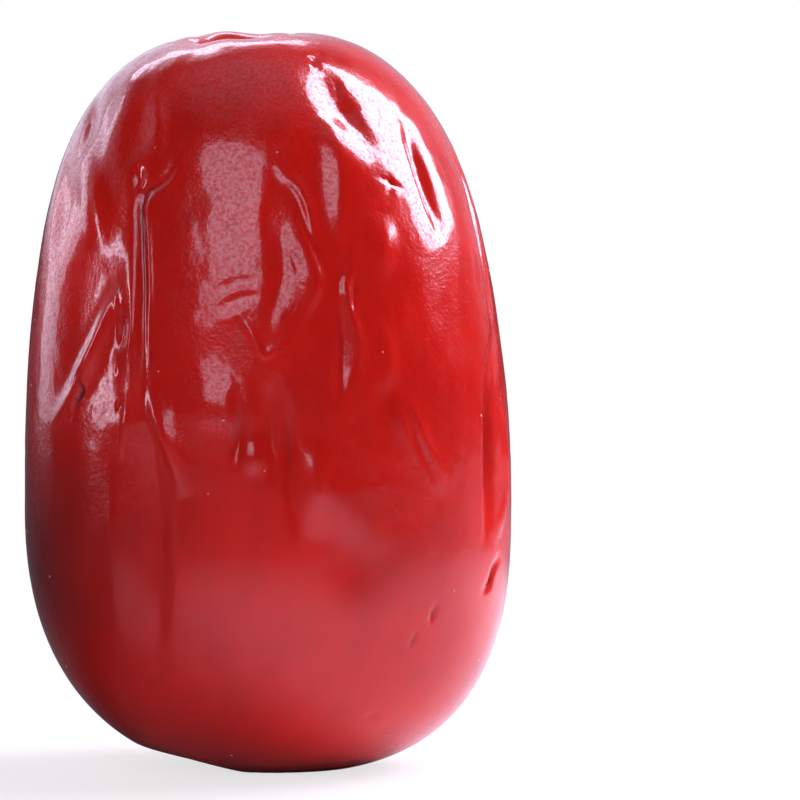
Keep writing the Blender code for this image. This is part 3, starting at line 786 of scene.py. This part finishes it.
def cork_patch(name, place, radius, side, material):
    """Round corky scar laid on the skin: wavy outline, raised ring and a knob in the middle.

    The side is 1 for a scar that faces up and -1 for one that faces down.
    """
    skin = BVHTree.FromObject(bpy.data.objects["skin"], bpy.context.evaluated_depsgraph_get())
    patch = bmesh.new()
    bmesh.ops.create_grid(patch, x_segments=PATCH_GRID, y_segments=PATCH_GRID, size=1.0)
    for vertex in patch.verts:
        x, y = vertex.co.x, vertex.co.y
        flat = Vector((x * math.sqrt(1.0 - y * y / 2.0), y * math.sqrt(1.0 - x * x / 2.0), 0.0))
        reach, turn = flat.length, math.atan2(flat.y, flat.x)
        spot = flat * radius * (1.0 + 0.10 * math.cos(3.0 * turn + 0.7)
                                + 0.05 * math.cos(7.0 * turn)) + Vector((*place, 0.0))
        under = skin.ray_cast(
            spot + Vector((0.0, 0.0, 0.1 * side)), Vector((0.0, 0.0, -side)))[0]
        if under is None:
            raise RuntimeError(f"{name} finds no skin under it")
        ring = math.exp(-((reach - PATCH_RING[0]) / PATCH_RING[1]) ** 2)
        ring += 0.6 * math.exp(-(reach / PATCH_KNOB) ** 2)
        crumb = 0.25 * noise_at(spot * PATCH_CRUMBS / radius)
        rise = PATCH_RISE * radius * (ring + crumb) * (1.0 - reach ** 4) - PATCH_SINK * reach ** 4
        vertex.co = (under.x, under.y, under.z + side * rise)
    bmesh.ops.solidify(patch, geom=patch.faces[:], thickness=PATCH_THICKNESS)
    bmesh.ops.recalc_face_normals(patch, faces=patch.faces[:])
    mesh = bpy.data.meshes.new(name)
    patch.to_mesh(mesh)
    patch.free()
    mesh.materials.append(material)
    mesh.shade_smooth()
    finish_piece(link_object(name, mesh))


def colour_setting(name, description, code):
    """Colour in the panel, from an sRGB hex code."""
    return bpy.props.FloatVectorProperty(
        name=name, description=description, subtype="COLOR", size=4, default=linear(code))


def length_setting(name, description, size):
    """Length in the panel."""
    return bpy.props.FloatProperty(name=name, description=description, default=size, unit="LENGTH")


def brightness_setting(name, source, amount):
    """Brightness of a lamp or a glow in the panel."""
    return bpy.props.FloatProperty(
        name=name, description=f"Brightness of the {source}", default=amount, min=0.0)


class JujubeLook(bpy.types.PropertyGroup):
    """Sizes and colours of the fruit."""

    skin_grid: bpy.props.IntProperty(
        name="Skin grid", description="Quads along each edge of the skin's starting cube",
        default=128, min=16, max=128)
    fold_strength: bpy.props.FloatProperty(
        name="Fold strength", description="Depth of all folds, 1 as drawn",
        default=1.0, min=0.0, max=1.5)
    swell_size: length_setting("Swell size", "Width of the soft swells between folds", 4.5 * MM)
    swell_height: length_setting("Swell height", "Height of the soft swells", 0.16 * MM)
    crinkle_size: length_setting("Crinkle size", "Width of the fine crinkles", 0.9 * MM)
    crinkle_height: length_setting("Crinkle height", "Height of the fine crinkles", 0.05 * MM)
    fleck_density: bpy.props.FloatProperty(
        name="Fleck density", description="Corky flecks on a square metre of skin",
        default=12000.0, min=0.0)
    fleck_size: length_setting("Fleck size", "Radius of a corky fleck", 0.09 * MM)
    scar_radius: length_setting(
        "Stem scar radius", "Radius of the corky scar in the cavity", 1.25 * MM)
    style_radius: length_setting(
        "Style point radius", "Radius of the corky point underneath", 0.45 * MM)
    bright_red: colour_setting("Bright red", "Skin where it is plumpest", "#CE1608")
    deep_red: colour_setting("Deep red", "Skin in the broad darker patches", "#B81207")
    dark_red: colour_setting("Dark red", "Upright streaks of dried skin", "#8E0C06")
    # Painted shade: the colour that the low left flank, away from the key light, is darkened
    # towards
    flank_shade_maroon: colour_setting(
        "Flank maroon", "Skin of the flank that ripened darkest", "#3A0403")
    # Painted shade: the colour that the deep folds are darkened towards
    fold_shade_brown: colour_setting("Furrow brown", "Skin deep in the folds", "#4A0606")
    cork_light: colour_setting("Light cork", "Raised crumbs of the stem scar", "#B98A5E")
    cork_dark: colour_setting("Dark cork", "Pits of the stem scar", "#5A3722")
    fleck_tan: colour_setting("Fleck tan", "Corky flecks", "#D98A5A")


class JujubeStage(bpy.types.PropertyGroup):
    """Floor and light of the studio."""

    floor_grey: colour_setting("Floor", "Colour of the pale floor", "#F4F2F0")
    key_radiance: brightness_setting("Key light", "softbox at the right", 13.5)
    key_fill_radiance: brightness_setting("Key fill", "soft light that the key side gives", 6.8)
    front_fill_radiance: brightness_setting("Front fill", "soft light from the front", 0.8)
    window_radiance: brightness_setting("Window light", "softbox at the front left", 2.2)
    side_radiance: brightness_setting("Side glow", "soft glow at the left", 0.7)
    strip_radiance: brightness_setting("Strip light", "narrow softbox at the left", 1.7)
    card_radiance: brightness_setting("Side card", "small white card at the front left", 7.0)
    back_glow: brightness_setting("Back glow", "white studio behind the fruit", 1.1)
    top_glow: brightness_setting("Top glow", "studio straight above the fruit", 0.5)
    wash_radiance: brightness_setting("Floor wash", "small lamp over the floor behind", 19.0)
    back_radiance: brightness_setting("Back light", "softbox above and behind", 4.0)


class JUJUBE_OT_skin(bpy.types.Operator):
    """Make the folded skin of the whole fruit"""

    bl_idname = "jujube.skin"
    bl_label = "Skin"

    def execute(self, context):
        look = context.scene.jujube_look
        source = link_object("skin_source", skin_mesh(look))
        mesh = bake_tree(source, "skin", crinkle_tree(), {
            "Swell size": look.swell_size, "Swell height": look.swell_height,
            "Crinkle size": look.crinkle_size, "Crinkle height": look.crinkle_height,
            "Seed": 3.0, "Material": waxy_skin_material(look)})
        bpy.data.objects.remove(source, do_unlink=True)
        points = read_vectors(mesh.vertices, "co")
        points[:, 2] = np.maximum(points[:, 2], 0.0)
        write_points(mesh, points)
        mesh.shade_smooth()
        finish_piece(link_object("skin", mesh))
        return {"FINISHED"}


class JUJUBE_OT_flecks(bpy.types.Operator):
    """Strew corky flecks over the skin"""

    bl_idname = "jujube.flecks"
    bl_label = "Flecks"

    def execute(self, context):
        look = context.scene.jujube_look
        material, tree, shader = new_material("corky_fleck")
        set_inputs(tree, shader, {"Base Color": look.fleck_tan, "Roughness": 0.6})
        source = link_object("fleck_source", bpy.data.objects["skin"].data.copy())
        mesh = bake_tree(source, "flecks", fleck_tree(), {
            "Density": look.fleck_density, "Fleck size": look.fleck_size, "Seed": 5,
            "Material": material})
        bpy.data.objects.remove(source, do_unlink=True)
        points = read_vectors(mesh.vertices, "co")
        write_points(mesh, np.clip(points, *plain(CAD_BOX)))
        mesh.shade_smooth()
        finish_piece(link_object("flecks", mesh))
        return {"FINISHED"}


class JUJUBE_OT_scars(bpy.types.Operator):
    """Make the corky stem scar in the cavity and the style point underneath"""

    bl_idname = "jujube.scars"
    bl_label = "Stem scar and style point"

    def execute(self, context):
        look = context.scene.jujube_look
        material = cork_material(look)
        cork_patch("stem_scar", (CAVITY_CENTRE, 0.0), look.scar_radius, 1.0, material)
        cork_patch("style_point", DIMPLE_PLACE, look.style_radius, -1.0, material)
        return {"FINISHED"}


class JUJUBE_OT_stage(bpy.types.Operator):
    """Set the pale floor, the studio light and the camera"""

    bl_idname = "jujube.stage"
    bl_label = "Floor, light and camera"

    def execute(self, context):
        stage = context.scene.jujube_stage
        make_floor(stage)
        make_lights(stage)
        make_world(stage)
        make_camera()
        return {"FINISHED"}


# Softboxes: place, size across and up, and the setting that holds their brightness. All face
# the same point. The key side and the front have two each: one is mirrored by the skin, and the
# fill behind it gives the soft light from there.
AIM = Vector((0.0, 0.0, 28.0 * MM))
SOFTBOXES = (
    ("key_softbox", (0.414, 0.126, 0.391), (0.30, 0.55), "key_radiance"),
    ("key_fill", (0.447, 0.136, 0.420), (0.32, 0.59), "key_fill_radiance"),
    ("front_fill", (-0.165, -0.598, 0.367), (0.58, 0.58), "front_fill_radiance"),
    ("window_softbox", (-0.140, -0.508, 0.316), (0.27, 0.42), "window_radiance"),
    ("floor_wash", (0.160, 0.130, 0.130), (0.12, 0.12), "wash_radiance"),
    ("back_softbox", (-0.109, 0.407, 0.381), (0.34, 0.08), "back_radiance"),
    ("strip_light", (-0.197, 0.138, 0.100), (0.088, 0.18), "strip_radiance"),
    ("side_card", (-0.255, -0.060, 0.066), (0.035, 0.086), "card_radiance"),
)
UNMIRRORED = ("floor_wash", "key_fill", "front_fill")   # light the fruit, but aren't mirrored
MIRRORED_ONLY = ("key_softbox", "side_card")            # mirrored by the skin, but don't light it
LIGHT_TINT = linear("#EEE5FF")[:3]                      # faint lavender of the daylight lamps
SIDE_GLOW = (-0.87, 0.35, 0.34)                         # direction of the glow at the left
SIDE_GLOW_EDGE = math.cos(math.radians(34.0))
AMBIENT = 0.05                                          # brightness of the studio elsewhere
FLOOR_HALF = 1.5
FLOOR_GAP = 0.02 * MM
OPEN_WAYS = ((0.423, -0.906, 0.0), (1.0, 0.0, 0.0))     # where the skin mirrors the floor in its own colour, not painted dark
LIT_POOL = (0.01, 0.01, 0.0)                            # middle of the floor that keeps its colour in reflections, in metres
BLACK = (0.0, 0.0, 0.0, 1.0)
WHITE = (1.0, 1.0, 1.0, 1.0)


def sweep_material(stage):
    """White paper sweep: the eye sees an even, bright ground with a light soft shadow on it.

    The camera sees it mixed with an even white glow, fully so away from the fruit. In the skin's
    reflections its colour is painted black, as painted shade, except near the fruit in front and
    at the right.
    """
    material, tree, shader = new_material("white_paper_sweep")
    place = add_node(tree, "ShaderNodeTexCoord").outputs["Object"]
    path = add_node(tree, "ShaderNodeLightPath").outputs
    # Painted shade: in the skin's reflections the floor's colour turns black away from the front
    # and the right and far from the fruit
    ways = [add_node(tree, "ShaderNodeVectorMath", (place, way),
                     operation="DOT_PRODUCT").outputs["Value"] for way in OPEN_WAYS]
    open_side = add_node(tree, "ShaderNodeMath", ways, operation="MAXIMUM")
    side = add_node(tree, "ShaderNodeMapRange", (open_side, -0.004, 0.022, 0.96, 0.0))
    from_pool = add_node(tree, "ShaderNodeVectorMath", (place, LIT_POOL),
                         operation="DISTANCE").outputs["Value"]
    far = add_node(tree, "ShaderNodeMapRange", (from_pool, 0.05, 0.13, 0.38, 0.92))
    dim = add_node(tree, "ShaderNodeMath", (side, far), operation="MAXIMUM")
    dim = add_node(tree, "ShaderNodeMath", (dim, path["Is Glossy Ray"]), operation="MULTIPLY")
    colour = add_node(tree, "ShaderNodeMix", {
        0: dim, 6: stage.floor_grey, 7: BLACK}, data_type="RGBA").outputs[2]
    set_inputs(tree, shader, {"Base Color": colour, "Roughness": 0.9})

    # Painted light: for the camera a white glow is mixed over the floor, a little less near the
    # fruit so that a light shadow stays
    distance = add_node(tree, "ShaderNodeVectorMath", (place,), operation="LENGTH")
    lift = add_node(tree, "ShaderNodeMapRange", (
        distance.outputs["Value"], 0.02, 0.12, 0.72, 1.0))
    share = add_node(tree, "ShaderNodeMath", (lift, path["Is Camera Ray"]), operation="MULTIPLY")
    bright = add_node(tree, "ShaderNodeEmission", {"Color": WHITE})
    seen = add_node(tree, "ShaderNodeMixShader", (share, shader, bright))
    output = next(node for node in tree.nodes if node.type == "OUTPUT_MATERIAL")
    set_inputs(tree, output, {"Surface": seen})
    return material


def make_floor(stage):
    """Plain pale floor just under the fruit."""
    bpy.ops.mesh.primitive_plane_add(size=2.0 * FLOOR_HALF, location=(0.0, 0.0, -FLOOR_GAP))
    floor = bpy.context.object
    floor.name = "floor"
    floor.data.materials.append(sweep_material(stage))


def make_lights(stage):
    """Soft studio light from the softboxes, which no camera sees."""
    for name, place, size, setting in SOFTBOXES:
        light = bpy.data.lights.new(name, "AREA")
        light.shape = "RECTANGLE"
        light.size, light.size_y = size
        light.color = LIGHT_TINT
        light.energy = math.pi * size[0] * size[1] * getattr(stage, setting)
        lamp = bpy.data.objects.new(name, light)
        lamp.location = place
        lamp.rotation_euler = (AIM - Vector(place)).to_track_quat("-Z", "Y").to_euler()
        lamp.visible_camera = False
        lamp.visible_glossy = name not in UNMIRRORED
        lamp.visible_diffuse = name not in MIRRORED_ONLY
        bpy.context.scene.collection.objects.link(lamp)


def make_world(stage):
    """Bright behind the fruit, with a glow at the left and one overhead, dim elsewhere.

    The camera sees it as plain white.
    """
    world = bpy.data.worlds.new("studio")
    world.use_nodes = True
    bpy.context.scene.world = world
    tree = world.node_tree
    tree.nodes.clear()
    direction = add_node(tree, "ShaderNodeTexCoord").outputs["Generated"]
    x, y, z = add_node(tree, "ShaderNodeSeparateXYZ", (direction,)).outputs
    facing = add_node(tree, "ShaderNodeVectorMath", (direction, SIDE_GLOW),
                      operation="DOT_PRODUCT").outputs["Value"]
    amount, behind, above, left, raised, top = (
        add_node(tree, "ShaderNodeMapRange", values) for values in (
            (x, -0.15, 0.1, stage.back_glow, 0.4 * stage.back_glow),
            (y, 0.5, 0.85),
            (z, 0.0, 0.08),
            (facing, SIDE_GLOW_EDGE, 1.0, 0.0, stage.side_radiance),
            (z, 0.10, 0.36),
            (z, 0.8, 1.0, 0.0, stage.top_glow)))
    behind = add_node(tree, "ShaderNodeMath", (behind, amount), operation="MULTIPLY")
    back = add_node(tree, "ShaderNodeMath", (behind, above), operation="MULTIPLY")
    side = add_node(tree, "ShaderNodeMath", (left, raised), operation="MULTIPLY")
    glow = back
    for part in (side, top, AMBIENT):
        glow = add_node(tree, "ShaderNodeMath", (glow, part), operation="ADD")
    seen = add_node(tree, "ShaderNodeLightPath").outputs["Is Camera Ray"]
    strength = add_node(tree, "ShaderNodeMath", (glow, seen), operation="MAXIMUM")
    tint = add_node(tree, "ShaderNodeMix", {
        0: seen, 6: (*LIGHT_TINT, 1.0), 7: WHITE}, data_type="RGBA").outputs[2]
    background = add_node(tree, "ShaderNodeBackground", (tint, strength))
    add_node(tree, "ShaderNodeOutputWorld", {"Surface": background})


def make_camera():
    """Camera at the photograph's angle, distance and framing."""
    data = bpy.data.cameras.new("camera")
    data.sensor_width = SENSOR
    data.lens = SENSOR * EYE_DISTANCE / FRAME_WIDTH
    data.clip_start, data.clip_end = 0.01, 10.0
    camera = bpy.data.objects.new("camera", data)
    camera.location = (EYE_ACROSS, -EYE_DISTANCE * math.cos(EYE_ANGLE),
                       EYE_HEIGHT + EYE_DISTANCE * math.sin(EYE_ANGLE))
    camera.rotation_euler = Euler((math.pi / 2.0 - EYE_ANGLE, 0.0, 0.0))
    bpy.context.scene.collection.objects.link(camera)
    bpy.context.scene.camera = camera
    bpy.context.scene.view_settings.view_transform = "Standard"


class JUJUBE_PT_panel(bpy.types.Panel):
    """Settings and steps in the sidebar"""

    bl_label = "Jujube"
    bl_space_type = "VIEW_3D"
    bl_region_type = "UI"
    bl_category = "Jujube"

    def draw(self, context):
        layout = self.layout
        for group in (context.scene.jujube_look, context.scene.jujube_stage):
            box = layout.box()
            for name in group.__annotations__:
                box.prop(group, name)
        for operator in OPERATORS:
            layout.operator(operator.bl_idname)


OPERATORS = (JUJUBE_OT_stage, JUJUBE_OT_skin, JUJUBE_OT_scars, JUJUBE_OT_flecks)
CLASSES = (JujubeLook, JujubeStage, *OPERATORS, JUJUBE_PT_panel)


def register():
    for item in CLASSES:
        bpy.utils.register_class(item)
    bpy.types.Scene.jujube_look = bpy.props.PointerProperty(type=JujubeLook)
    bpy.types.Scene.jujube_stage = bpy.props.PointerProperty(type=JujubeStage)


def unregister():
    del bpy.types.Scene.jujube_stage
    del bpy.types.Scene.jujube_look
    for item in reversed(CLASSES):
        bpy.utils.unregister_class(item)


def plain(box):
    """Corners of a box as lists of numbers."""
    return [[float(value) for value in corner] for corner in box]


def main():
    register()
    bpy.ops.jujube.stage()
    bpy.ops.jujube.skin()
    bpy.ops.jujube.scars()
    bpy.ops.jujube.flecks()


if __name__ == "__main__":
    main()
